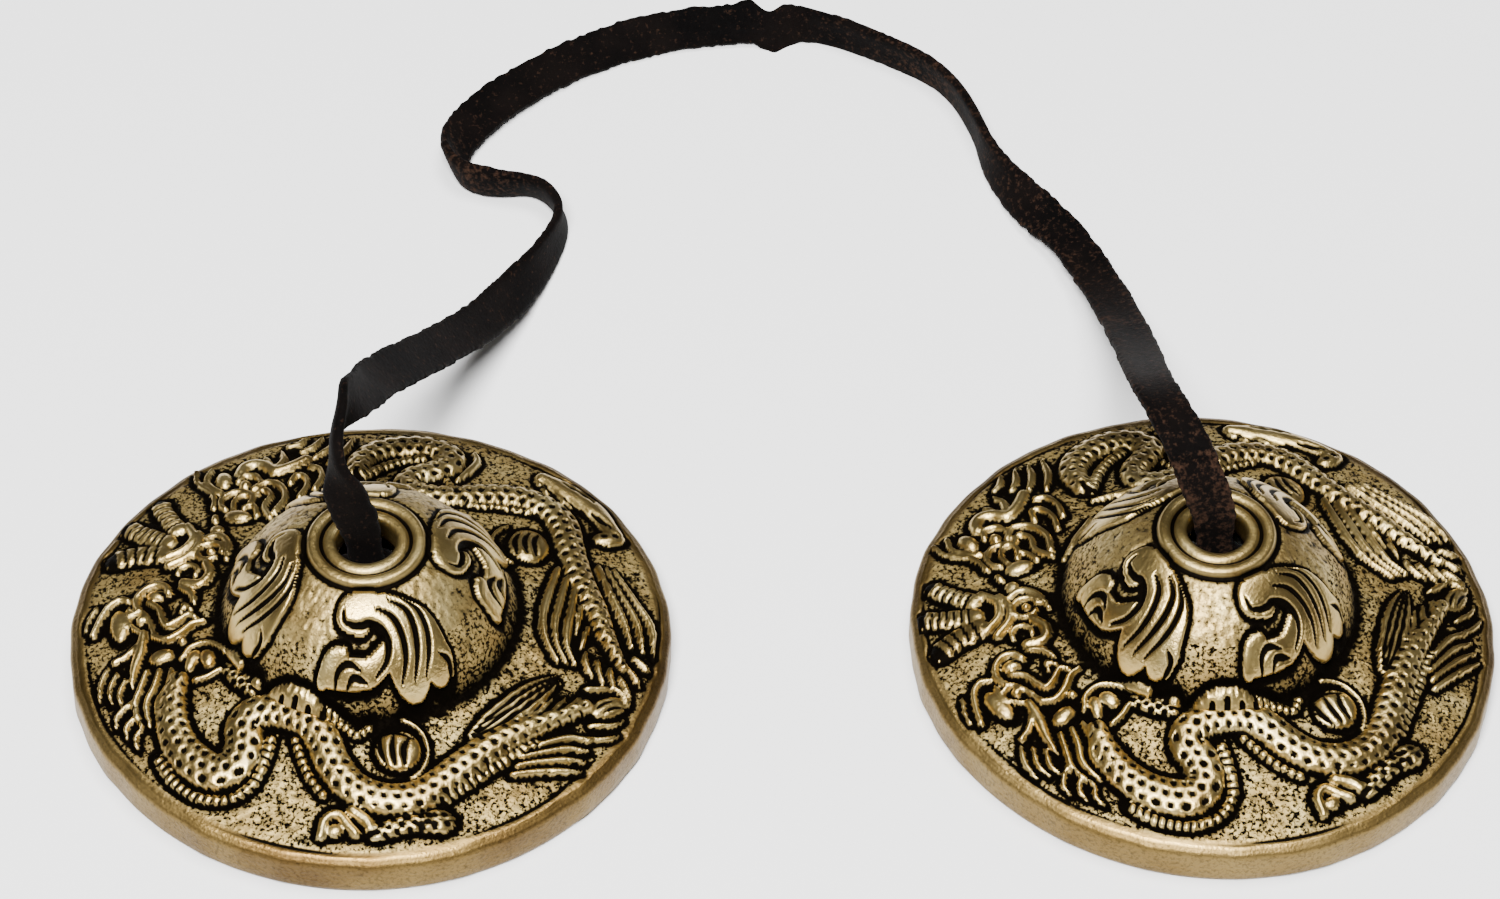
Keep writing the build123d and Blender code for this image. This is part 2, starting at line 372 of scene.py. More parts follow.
def back_dragon():
    """The dragon whose body loops behind the boss, head to the north-west, tail to the south-east."""
    dotted_body(
        [(-1.9, 23.6), (-1.4, 26.4), (0.6, 28.6), (3.6, 29.6), (6.8, 29.4), (9, 27.8), (9.2, 25.6),
         (7.4, 24), (5, 22.8), (4.1, 20.8), (6, 19), (9.4, 18.7), (13, 19.4), (17, 19.7),
         (20.3, 18.4), (22.5, 15.6), (23.3, 12), (24, 8.5), (25, 5), (26.3, 1.5), (27.3, -2),
         (28.4, -4.8), (29.4, -7)],
        1.95, 0.95, (0.75, 1, 1.05, 1, 0.85, 0.9, 1, 1, 1, 0.85, 0.75, 0.65, 0.3),
    )
    ladder([(-1.4, 22.4), (1.4, 25), (4.2, 26.4), (6.4, 27)], 0.7, 0.5, 0.85)
    ladder([(8.8, 22.6), (11, 17.6), (15, 17.3), (18.6, 17)], 0.45, 0.4, 0.85)
    band([(12.3, 28.2), (12.6, 26.4), (11.5, 24.2), (10.3, 22.2)], 0.55, 0.6, (0.6, 1, 1, 0.7))
    # Leaf along the foot of the boss
    band([(-2.6, 20.4), (0, 19.8), (2.6, 19.2), (4, 17.4)], 0.5, 0.5, (0.6, 1, 1, 0.4))
    ball((1.4, 18.5), (1.3, 0.6), 0.4, -8)
    # Pearl in its dish
    ball((18.6, 10.6), (2.4, 2.9), 0.7, outline=0.5)
    band(ring_line((17.9, 10.6), 3.6, 120, 250), 0.25, 0.35)
    for shift in (-1.1, 0.0, 1.1):
        groove([(18.6 + shift, 12.6), (18 + shift, 10.8), (18.3 + shift, 8.8)], 0.28, 0.4)
    # Leg and paw
    band([(20.4, 24.2), (22.8, 22.4), (25.4, 20), (27.4, 17.2), (28.6, 14.6)],
         1.5, 0.6, (0.6, 1, 1, 0.9, 0.8))
    groove([(22.4, 23.2), (24.6, 21.6), (26.4, 19.8)], 0.22)
    groove([(26, 17.9), (27.2, 16.4), (28.2, 15.4)], 0.25, 0.35)
    ball((28, 13.7), (2, 1.2), 0.7, 10)
    groove([(27.3, 13.8), (27.4, 13.8)], 0.36, 0.35, (1, 1))
    groove([(28.6, 14), (28.7, 14)], 0.36, 0.35, (1, 1))
    strands([(20.8, 21.6), (22.2, 20.4), (23.6, 18.6)],
            [(19.6, 23.4), (20.4, 22.2), (20.8, 20.8)], 2, 0.35, 0.45)
    # Locks on both sides of the tail
    strands([(26.6, 8.4), (28, 4.4), (29.4, 0.4), (30.4, -3.6)],
            [(28.4, 8), (30.6, 3.8), (32.6, 0), (33, -4.4)], 3, 0.6, 0.65)
    strands([(21.9, 7), (20.9, 3), (20.2, -1), (20.5, -4.4), (21.8, -7.4)],
            [(23.9, 4.2), (23.4, 0.6), (22.9, -2.4), (22.9, -5), (23.8, -7.4)], 3, 0.62, 0.65)
    strands([(24.6, 1.6), (24.3, -0.6), (24, -2.8)], [(25.4, -1.6), (24.9, -3.2), (24.6, -4.8)], 2, 0.4, 0.5)
    # Fan at the tip of the tail
    strands([(25, -5.6), (25.1, -7), (25.8, -8.8)], [(27.9, -7.4), (28, -8.8), (28.4, -10.2)], 3, 0.5, 0.6)
    strands([(29, -8.4), (29.6, -9.6), (30.2, -11.2)],
            [(30.6, -5.2), (31.4, -5.8), (32.4, -6.8)], 3, 0.5, 0.6)
    band([(25.2, -10.6), (27, -10.3), (28.6, -10), (30, -11.8)], 0.4, 0.5)


def back_head():
    """Head of the back dragon, with horns to the north and a curled jaw."""
    band([(-21.4, 26.2), (-21.2, 24.2), (-20, 22.4), (-19, 20.8), (-18.9, 18.4)], 0.4, 0.5)
    band([(-19.6, 26.2), (-20.1, 24.3), (-19.3, 22.6), (-18, 21.2)], 0.42, 0.55)
    ball((-18, 24), (1.05, 1.6), 0.65, 8)
    band([(-16, 25), (-15.6, 26.2), (-14.4, 26.8), (-13, 26.2), (-11.8, 24.9), (-10, 25.6), (-8.2, 27)],
         0.85, 0.7)
    band([(-16.2, 23.2), (-15.4, 24.4), (-14, 24), (-13.5, 22.6)], 0.4, 0.6)
    ball((-15.3, 22.2), (0.8, 0.9), 0.75)
    band([(-11.2, 28.8), (-10.9, 27.2), (-11.6, 25.6)], 0.6, 0.6, (0.5, 1, 0.8))
    band([(-13.2, 27.9), (-12.6, 27), (-12.9, 26.2)], 0.35, 0.45)
    band(ring_line((-16.2, 19.2), 1.9, -60, 230), 0.42, 0.6)
    band([(-14.6, 20.4), (-15.8, 20), (-16.5, 18.9), (-16.5, 17.5)], 0.42, 0.6)
    band([(-14.3, 21.2), (-12.7, 22.4), (-10.9, 21.3), (-10.4, 18.6), (-11.5, 16)], 0.48, 0.65)
    band([(-14.2, 19.8), (-12.9, 20.9), (-12.1, 19.5), (-12.8, 17.4), (-12, 15)], 0.45, 0.6)
    band([(-14.6, 18.6), (-13.9, 17.6), (-13.6, 15.8)], 0.4, 0.5)
    ball((-15.9, 16.2), (1.8, 1.1), 0.65, -20)
    ball((-18.6, 16.3), (0.5, 0.9), 0.5)
    band([(-9.9, 22), (-9.2, 23.6), (-8.1, 23), (-7.9, 21), (-8.7, 18.8)], 0.42, 0.55)
    band([(-7.6, 25.4), (-6.4, 24.6), (-6.2, 22.6), (-6.9, 20.4)], 0.42, 0.55)
    strands([(-10.6, 29.8), (-9.2, 30.6), (-8.2, 32)],
            [(-5.4, 26.2), (-3.6, 28.6), (-2.6, 31.4)], 4, 0.55, 0.55)
    band([(-11.4, 13.6), (-8, 15.8), (-4.8, 17.6)], 0.6, 0.4, (0.4, 1, 0.7))


def fan_ornament():
    """Three ribbed lobes, a bracelet and a string of curls, west of the boss."""
    ladder([(-25.3, 20.4), (-24.5, 18.2), (-23, 15.4)], 1.15, 0.6, 1.0)
    ladder([(-28.9, 16.8), (-27, 15.2), (-24.2, 13.2)], 1.3, 0.6, 0.9)
    ladder([(-30, 11.4), (-27.6, 11.6), (-24.8, 11.2)], 1.45, 0.65, 1.2)
    band([(-21.7, 15.4), (-20.9, 13.2), (-22, 11.2), (-24, 10.4)], 0.62, 0.7)
    band([(-20.3, 13.6), (-20.3, 11.6), (-21.5, 9.8), (-23.7, 8.9)], 0.6, 0.7)
    band(ring_line((-21.4, 7.3), 1.2, -40, 180), 0.35, 0.5)
    band([(-19.2, 8.2), (-18.8, 6.4), (-19.8, 5), (-21.8, 5.6)], 0.7, 0.6)
    band(ring_line((-18.9, 10.3), 1.45, -20, 300), 0.4, 0.55)
    ball((-18.8, 10.3), (0.55, 0.55), 0.55)
    band([(-19.3, 12.9), (-17.7, 12.8), (-16.8, 11), (-16.9, 8.4)], 0.55, 0.55, (0.8, 1, 1, 0.5))
    ball((-18.3, 14.1), (0.9, 0.9), 0.5)


def boss_scroll(turn):
    """One flame scroll on the boss, cut with parallel lines, turned about the axis."""
    def turned(points):
        c, s = cos(radians(turn)), sin(radians(turn))
        return [(x * c - y * s, x * s + y * c) for x, y in points]

    plate = {"rise": 0.4, "outline": 0.45, "roundness": 0.2}
    band(turned([(-1.3, -9.2), (1.4, -9.2), (3.8, -10.2), (5, -11.8), (5, -13.6)]), 2.2,
         taper=(0.8, 0.75, 1, 1.1, 1.1), **plate)
    band(turned([(4.2, -8.7), (6.4, -10), (7.8, -11.6), (8, -12.8)]), 1.5, taper=(0.6, 1, 1, 1), **plate)
    band(turned([(-1.8, -9.2), (-1.9, -10), (-0.6, -10.6)]), 1.3, **plate)
    band(turned([(2.8, -13), (0.6, -14.5), (-1.8, -14.6), (-3.9, -14.2)]), 1.15, **plate)
    band(turned([(-4.9, -14.6), (-4, -13.2), (-2.6, -13.1)]), 0.7, **plate)
    band(turned([(8.2, -11.4), (9, -11.6), (9.2, -12.6)]), 0.7, **plate)
    groove(turned([(-3.6, -15.6), (-3.1, -14.3), (-1.9, -13.9), (-0.5, -14.5)]), 0.24, 0.4)
    groove(turned([(-2.2, -15.6), (-1.4, -14.9), (0.2, -15.3)]), 0.24, 0.4)
    groove(turned([(-2.4, -9.3), (-2.2, -10.4), (-0.9, -10.9), (0.6, -10.7), (1.9, -11.2), (2.6, -12.4),
                   (2.3, -13.8), (1.2, -14.9)]), 0.3, 0.5)
    groove(turned([(1.1, -9.2), (3, -9.9), (4.1, -11.4), (4.5, -13.2), (4.1, -15)]), 0.26, 0.45)
    groove(turned([(2.6, -8.3), (4.5, -9), (5.5, -10.6), (5.8, -12.6), (5.5, -14.6)]), 0.26, 0.45)
    groove(turned([(4, -7.9), (5.8, -8.7), (6.8, -10.2), (7.1, -12), (6.8, -14)]), 0.24, 0.4)
    groove(turned([(8.2, -11.9), (9.3, -12.1), (9.6, -13.4)]), 0.24, 0.4)


def make_relief():
    """Draws every figure of the relief into the three layers."""
    front_dragon()
    front_head()
    back_dragon()
    back_head()
    fan_ornament()
    for turn in (0, 90, 180, 270):
        boss_scroll(turn)


def mottle(pitch):
    """Smooth random values from -1 to 1 over the plan, each patch about one pitch across."""
    count = int(2 * RIM_RADIUS / pitch) + 3
    lattice = random.uniform(-1, 1, (count, count))
    column = (east + RIM_RADIUS) / pitch
    row = (north + RIM_RADIUS) / pitch
    left = column.astype(int)
    below = row.astype(int)
    right_share = column - left
    above_share = row - below
    near = lattice[below, left] * (1 - right_share) + lattice[below, left + 1] * right_share
    far = lattice[below + 1, left] * (1 - right_share) + lattice[below + 1, left + 1] * right_share
    return near * (1 - above_share) + far * above_share


def blurred(layer, rounds):
    """A layer smoothed over its neighbours, round the cymbal and along its slope."""
    for _ in range(rounds):
        layer = (layer + np.roll(layer, 1, 1) + np.roll(layer, -1, 1)) / 3
        inner = np.vstack([layer[:1], layer[:-1]])
        outer = np.vstack([layer[1:], layer[-1:]])
        layer = (layer + inner + outer) / 3
    return layer


def circle_line(radius, width):
    """1 on a circle round the axis, fading out over a width on both sides of it."""
    return np.exp(-((radius_here - radius) / width)**2)


# The surface: figures on a gritty ground, with an uneven line scored near a plain edge
make_relief()
on_figure = np.clip(raised / 0.18, 0, 1)
radius_here = np.hypot(east, north)
grit = mottle(0.5) + 0.6 * mottle(0.9)
scored_radius = SCORED_RADIUS + 0.25 * np.sin(angles * 3 + 1) + 0.15 * np.sin(angles * 11)
scored = circle_line(scored_radius[None, :], 0.22) * (0.55 + 0.45 * np.sin(angles * 7 + 2))
plain_edge = np.clip((radius_here - PLAIN_EDGE_RADIUS) / 0.6, 0, 1)
outside_rings = radius_here >= RINGS_END_RADIUS
relief = raised * RELIEF_SCALE - ditch * (1 - on_figure) - cut * on_figure
relief += 0.09 * grit * (1 - on_figure) * (1 - plain_edge) * outside_rings
relief -= 0.18 * np.clip(scored, 0, 1)
relief += 0.02 * mottle(1.3)

# The black patina: in outlines and cuts, in sunken places, on the ground near figures and in grooves
sunken = np.clip(blurred(relief, 6) - relief, 0, None)
nearby = blurred(on_figure, 14)
open_ground = (1 - on_figure) * (1 - plain_edge)
patina = np.clip(
    1.5 * ditch * (1 - on_figure) / 0.4
    + 2.6 * cut * on_figure
    + 2.4 * sunken
    + open_ground * (0.12 + 1.0 * nearby)
    + open_ground * 0.3 * np.clip(-grit - 0.3, 0, 1)
    + 0.7 * np.clip(scored, 0, 1),
    0, 1,
)
ring_grooves = circle_line(5.2, 0.26) + circle_line(7.25, 0.36)
boss_foot = 0.55 * circle_line(17.6, 0.9) * (1 - on_figure)
patina = np.clip(np.maximum(patina + boss_foot, ring_grooves), 0, 1)
pitted = (1 - on_figure) * (1 - plain_edge) * np.where(radius_here < 13.5, 0.45, 1) * (radius_here > 7.4)


# ---------------------------------------------------------------- cymbals
def out_of_round(side, angle):
    """How much a rim's radius departs from its mean at an angle, as a share of it."""
    if side == "left":
        return 0.0122 * np.cos(2 * angle) + 0.006 * np.sin(3 * angle) - 0.004
    return -0.0028 * np.cos(2 * angle) - 0.0051 * np.cos(3 * angle) + 0.004 * np.sin(3 * angle) - 0.009


def lower_profile():
    """Radius and height of each ring from the rim's upper corner, round the underside, to the hole."""
    corner = np.radians(np.linspace(15, 90, 5))
    rim_in = RIM_RADIUS - RIM_ROUNDING
    profile = [(rim_in + RIM_ROUNDING * sin(a), RIM_HEIGHT - RIM_ROUNDING * (1 - cos(a))) for a in corner]
    profile += [(RIM_RADIUS, level) for level in (2.9, 1.8, 0.7)]
    profile += [(RIM_RADIUS - 0.2, 0.25), (RIM_RADIUS - 0.6, 0.02), (RIM_RADIUS - 1.6, 0.0)]
    profile.append((LAND_RADIUS, 0.0))
    hollow_edge = BOSS_SPHERE_HEIGHT + np.sqrt(HOLLOW_RADIUS**2 - HOLLOW_CONE_RADIUS**2)
    for share in (0.25, 0.5, 0.75):
        profile.append((LAND_RADIUS + (HOLLOW_CONE_RADIUS - LAND_RADIUS) * share, hollow_edge * share))
    for angle in np.radians(np.linspace(83, 16, 9)):
        profile.append((HOLLOW_RADIUS * sin(angle), BOSS_SPHERE_HEIGHT + HOLLOW_RADIUS * cos(angle)))
    profile += [(HOLE_RADIUS, level) for level in (18.5, 19.6, 20.6)]
    return np.array(profile)


def make_cymbal(side, centre_x, turn):
    """A closed cymbal whose upper face carries the relief, turned about its axis."""
    height = top_height(rings)
    slope = np.gradient(height, rings)
    lean = np.clip(slope, -3, 3)
    normal_out = (-lean / np.sqrt(1 + lean**2))[:, None]
    normal_up = (1 / np.sqrt(1 + lean**2))[:, None]
    upper_radius = rings[:, None] + relief * normal_out
    upper_height = height[:, None] + relief * normal_up

    lower = lower_profile()
    radius = np.vstack([upper_radius, np.repeat(lower[:, :1], SECTORS, 1)])
    level = np.vstack([upper_height, np.repeat(lower[:, 1:], SECTORS, 1)])

    # The rim is a little out of round, and its wall has shallow dents
    turned = angles + radians(turn)
    radius = radius * (1 + out_of_round(side, turned)[None, :] * (radius / RIM_RADIUS)**2)
    wall = (radius > 33.5) & (level > 0.3)
    dents = 0.06 * np.sin(turned * 9 + 1) + 0.05 * np.sin(turned * 23) + 0.04 * np.sin(turned * 41 + 2)
    radius = radius + wall * dents[None, :]
    vertices = np.stack([
        centre_x + radius * np.cos(turned)[None, :],
        radius * np.sin(turned)[None, :],
        level,
    ], -1).reshape(-1, 3)
    # ring_faces goes clockwise round these quads as seen from outside, so each one is turned round
    quads = ring_faces(len(radius), SECTORS, joined=True)
    faces = [(first, fourth, third, second) for first, second, third, fourth in quads]
    piece = mesh_object(f"{side}_cast_cymbal", vertices, faces)
    for name, above, below in (("patina", patina, 0.3), ("plain", plain_edge, 1), ("pitted", pitted, 0.15)):
        add_attribute(piece, name, np.vstack([above, np.full((len(lower), SECTORS), below)]))
    return piece


# ---------------------------------------------------------------- thong
# Corners of the thong's route, from the left knot to the right one
THONG_ROUTE = [
    (-49.25, 0.0, 16.5),
    (-49.4, 0.0, 21.0),
    (-50.4, 0.0, 25.5),
    (-51.8, 0.6, 29.8),
    (-52.6, 3.4, 34.2),
    (-51.3, 8.8, 35.8),
    (-49.6, 13.8, 31.6),
    (-48.6, 20.4, 27.0),
    (-45.4, 28.4, 21.4),
    (-41.6, 37.6, 14.8),
    (-36.8, 48.0, 8.2),
    (-32.0, 58.0, 4.2),
    (-27.6, 66.4, 3.2),
    (-25.6, 73.6, 2.8),
    (-28.8, 79.0, 2.8),
    (-34.6, 79.0, 2.8),
    (-40.0, 81.4, 2.8),
    (-39.8, 88.2, 2.7),
    (-34.6, 95.2, 2.4),
    (-25.0, 103.5, 2.1),
    (-14.0, 108.8, 2.2),
    (-2.0, 110.7, 2.35),
    (8.6, 110.0, 2.6),
    (17.0, 105.0, 2.7),
    (24.8, 99.2, 2.7),
    (28.2, 91.0, 2.7),
    (29.8, 82.4, 2.7),
    (33.4, 75.4, 2.8),
    (38.6, 68.8, 2.6),
    (41.8, 59.4, 3.6),
    (43.2, 48.8, 8.0),
    (43.4, 38.2, 14.2),
    (43.0, 28.6, 20.8),
    (42.4, 20.4, 27.0),
    (42.2, 13.8, 31.6),
    (43.0, 8.0, 34.0),
    (44.8, 3.0, 33.4),
    (46.6, 0.4, 30.0),
    (48.4, 0.0, 25.5),
    (49.1, 0.0, 21.0),
    (49.25, 0.0, 16.5),
]
# Which way the band's right-hand edge points, at distances along it from where it leaves the left hole
THONG_ACROSS = [
    (-9, (-1.0, 0.1, 0.0)),
    (0, (-1.0, 0.1, 0.0)),
    (3, (-0.95, 0.2, -0.1)),
    (7, (-0.2, 0.7, -0.65)),
    (12.5, (0.0, 0.7, -0.7)),
    (16.5, (0.25, -0.5, -0.85)),
    (20, (0.4, -0.7, -0.6)),
    (26, (0.6, -0.62, -0.4)),
    (45, (0.6, -0.6, -0.5)),
    (60, (0.65, -0.5, -0.55)),
    (75, (0.6, -0.25, -0.75)),
    (85, (0.3, 0.1, -0.95)),
    (92, (0.15, 0.3, -0.95)),
    (100, (0.0, 0.45, -0.9)),
    (106, (0.0, 0.1, -0.98)),
    (111, (0.25, 0.1, -0.95)),
    (114.5, (0.67, 0.0, -0.7)),
    (122, (0.75, -0.4, -0.4)),
    (132, (0.6, -0.6, -0.5)),
    (155, (0.0, -0.72, -0.69)),
    (166, (0.0, -0.72, -0.69)),
    (172, (0.0, 0.0, -1.0)),
    (185, (0.0, 0.15, -1.0)),
    (195, (0.0, 0.3, -0.95)),
    (204, (0.0, 0.3, -0.95)),
    (214, (-0.4, -0.1, -0.8)),
    (226, (-0.85, -0.5, -0.1)),
    (260, (-1.0, 0.0, 0.0)),
    (322, (-1.0, 0.0, 0.0)),
]


def spline_line(points, step):
    """Points every step along the smooth NURBS curve of a route, and their distance along it."""
    curve = bpy.data.curves.new("route", "CURVE")
    curve.dimensions = "3D"
    curve.resolution_u = 16
    spline = curve.splines.new("NURBS")
    spline.points.add(len(points) - 1)
    for point, place in zip(spline.points, points):
        point.co = (place[0] * MM, place[1] * MM, place[2] * MM, 1)
    spline.order_u = 3
    spline.use_endpoint_u = True
    holder = bpy.data.objects.new("route", curve)
    bpy.context.scene.collection.objects.link(holder)
    mesh = bpy.data.meshes.new_from_object(holder)
    line = np.array([vertex.co for vertex in mesh.vertices]) / MM
    bpy.data.objects.remove(holder)
    bpy.data.curves.remove(curve)
    bpy.data.meshes.remove(mesh)
    travel = np.concatenate([[0], np.cumsum(np.linalg.norm(np.diff(line, axis=0), axis=1))])
    even = np.linspace(0, travel[-1], int(travel[-1] / step) + 1)
    return np.stack([np.interp(even, travel, line[:, axis]) for axis in range(3)], -1), even


def smoothed(values, rounds):
    """Rows averaged with their neighbours, the ends kept."""
    for _ in range(rounds):
        values = np.vstack([values[:1], (values[:-2] + values[1:-1] + values[2:]) / 3, values[-1:]])
    return values


def wave(travel, pitch):
    """Smooth random values from -1 to 1 that change over about one pitch."""
    lattice = random.uniform(-1, 1, int((travel[-1] - travel[0]) / pitch) + 4)
    place = (travel - travel[0]) / pitch
    low = place.astype(int)
    share = place - low
    share = share * share * (3 - 2 * share)
    return lattice[low] * (1 - share) + lattice[low + 1] * share


line, travel = spline_line(THONG_ROUTE, THONG_STEP)
above_exit = np.flatnonzero(line[:, 2] > EXIT_HEIGHT)
leaves = int(above_exit[0])
enters = int(above_exit[-1])
travel = travel - travel[leaves]
heading = np.gradient(line, axis=0)
heading /= np.linalg.norm(heading, axis=1)[:, None]
stops = np.array([stop for stop, _ in THONG_ACROSS], float)
ways = np.array([way for _, way in THONG_ACROSS])
across = smoothed(np.stack([np.interp(travel, stops, ways[:, axis]) for axis in range(3)], -1), 16)
across -= np.sum(across * heading, axis=1)[:, None] * heading
across /= np.linalg.norm(across, axis=1)[:, None]
face_up = np.cross(across, heading)

# Points round the section, as shares of half the width and half the thickness
SECTION = [(-1, 0.0), (-0.95, 0.7), (-0.8, 1), (-0.4, 1), (0, 1), (0.4, 1), (0.8, 1), (0.95, 0.7),
           (1, 0.0), (0.95, -0.7), (0.8, -1), (0.4, -1), (0, -1), (-0.4, -1), (-0.8, -1), (-0.95, -0.7)]

# Distances along the thong of the torn flap at its far side, and of the step in it above the right hole
FLAP_PLACE = 167
STEP_PLACE = 302.5


def bump_at(place, centre, reach):
    """1 at a distance along the thong, falling evenly to 0 at reach from it."""
    return np.clip(1 - np.abs(place - centre) / reach, 0, 1)


def thong_rings():
    """The section's points at every station, with squeezed ends, ragged edges, a flap and a step."""
    half_width = THONG_WIDTH / 2 * (1 + 0.03 * wave(travel, 6))
    past_hole = np.clip(np.minimum(travel, travel[enters] - travel) / 5, -1, 0)
    half_width = half_width * (1 + 0.2 * past_hole)
    curl = 0.2 + 0.2 * wave(travel, 25)
    right_edge = 0.13 * wave(travel, 0.6) + 0.09 * wave(travel, 2.2)
    left_edge = 0.13 * wave(travel, 0.6) + 0.09 * wave(travel, 2.2)
    right_edge += 2.3 * bump_at(travel, FLAP_PLACE, 3.2)
    left_edge += 0.5 * bump_at(travel, FLAP_PLACE - 3.6, 2) - 1.2 * bump_at(travel, FLAP_PLACE - 1, 2.2)
    rings = np.zeros((len(line), len(SECTION), 3))
    for number, (share, rise) in enumerate(SECTION):
        width = share * half_width + np.where(share > 0, right_edge, -left_edge) * abs(share)**3
        lift = rise * THONG_THICKNESS / 2 + curl * (share**2 - 0.4)
        lift -= 0.35 * (rise > 0) * (travel > STEP_PLACE - 0.9 * share)
        rings[:, number] = line + across * width[:, None] + face_up * lift[:, None]
    rings[..., 2] = np.maximum(rings[..., 2], CLEARANCE)
    return rings


thong_shape = thong_rings()


def thong_wear():
    """How scuffed the thong is: most at its folds and along its edges on the right-hand side."""
    folds = 0.8 * bump_at(travel, 107, 14) + 0.7 * bump_at(travel, 192, 26) + 0.5 * bump_at(travel, 251, 3)
    right_side = 0.55 * np.clip((travel - 200) / 20, 0, 1) + 0.6 * (travel > STEP_PLACE - 0.5)
    shares = np.array([share for share, _ in SECTION])
    return np.clip(folds[:, None] + right_side[:, None] * (0.35 + 0.65 * np.abs(shares)[None, :]), 0, 1)


def make_band_piece(name, first, last):
    """The stretch of thong between two stations, with closed ends that have sharp edges."""
    part = thong_shape[first:last + 1]
    count = len(SECTION)
    faces = ring_faces(len(part), count)
    faces.append(tuple(reversed(range(count))))
    faces.append(tuple(range((len(part) - 1) * count, len(part) * count)))
    piece = mesh_object(name, part.reshape(-1, 3), faces)
    for edge in piece.data.edges:
        rows = {vertex // count for vertex in edge.vertices}
        edge.use_edge_sharp = rows in ({0}, {len(part) - 1})
    add_attribute(piece, "worn", thong_wear()[first:last + 1])
    return piece


def make_knot(name, centre):
    """An overhand knot pulled tight, as a thick strip along a trefoil, pressed flat above and below."""
    half_thickness = 0.95
    half_width = 2.1
    reach_down = 4.4
    reach_up = 4.35
    turns = np.linspace(0, 2 * pi, 120, endpoint=False)
    path = np.stack([
        np.sin(turns) + 2 * np.sin(2 * turns),
        np.cos(turns) - 2 * np.cos(2 * turns),
        -1.9 * np.sin(3 * turns),
    ], -1) * (1.22, 1.22, 1.15)
    ahead = np.roll(path, -1, 0) - np.roll(path, 1, 0)
    ahead /= np.linalg.norm(ahead, axis=1)[:, None]
    outward = path - np.sum(path * ahead, axis=1)[:, None] * ahead
    outward /= np.linalg.norm(outward, axis=1)[:, None]
    sideways = np.cross(ahead, outward)
    around = np.linspace(0, 2 * pi, 14, endpoint=False)
    vertices = []
    for place, out, sidestep in zip(path, outward, sideways):
        for angle in around:
            vertices.append(place + out * half_thickness * cos(angle) + sidestep * half_width * sin(angle))
    vertices = np.array(vertices) + centre
    vertices[:, 2] = np.clip(vertices[:, 2], centre[2] - reach_down, centre[2] + reach_up)
    return mesh_object(name, vertices, ring_faces(len(path), len(around), joined=True))


# ---------------------------------------------------------------- materials
class Nodes:
    """Short calls for building a material's nodes."""

    def __init__(self, name):
        self.material = bpy.data.materials.new(name)
        self.material.use_nodes = True
        self.tree = self.material.node_tree
        self.shader = self.tree.nodes["Principled BSDF"]

    def add(self, kind, **settings):
        node = self.tree.nodes.new(kind)
        for key, value in settings.items():
            setattr(node, key, value)
        return node

    def link(self, output, target):
        self.tree.links.new(output, target)

    def noise(self, scale, detail, roughness=0.55):
        node = self.add("ShaderNodeTexNoise")
        node.inputs["Scale"].default_value = scale
        node.inputs["Detail"].default_value = detail
        node.inputs["Roughness"].default_value = roughness
        place = self.add("ShaderNodeTexCoord")
        self.link(place.outputs["Object"], node.inputs["Vector"])
        return node.outputs["Fac"]

    def attribute(self, name):
        return self.add("ShaderNodeAttribute", attribute_name=name).outputs["Fac"]

    def ramp(self, value, stops):
        node = self.add("ShaderNodeValToRGB")
        elements = node.color_ramp.elements
        while len(elements) < len(stops):
            elements.new(0.5)
        for element, (position, colour) in zip(elements, stops):
            element.position = position
            element.color = (*colour, 1)
        self.link(value, node.inputs["Fac"])
        return node.outputs["Color"]

    def math(self, operation, first, second):
        node = self.add("ShaderNodeMath", operation=operation)
        for socket, value in zip(node.inputs, (first, second)):
            if isinstance(value, (int, float)):
                socket.default_value = value
            else:
                self.link(value, socket)
        return node.outputs["Value"]

    def mix(self, share, first, second):
        # The colour sockets go by number, because a mix node has several of each name
        node = self.add("ShaderNodeMix", data_type="RGBA")
        for socket, value in ((0, share), (6, first), (7, second)):
            if isinstance(value, (int, float)):
                node.inputs[socket].default_value = value
            elif isinstance(value, tuple):
                node.inputs[socket].default_value = (*value, 1)
            else:
                self.link(value, node.inputs[socket])
        return node.outputs[2]

    def span(self, value, low, high):
        node = self.add("ShaderNodeMapRange")
        node.inputs["To Min"].default_value = low
        node.inputs["To Max"].default_value = high
        self.link(value, node.inputs["Value"])
        return node.outputs["Result"]

    def bump(self, height, strength, distance):
        node = self.add("ShaderNodeBump")
        node.inputs["Strength"].default_value = strength
        node.inputs["Distance"].default_value = distance
        self.link(height, node.inputs["Height"])
        self.link(node.outputs["Normal"], self.shader.inputs["Normal"])


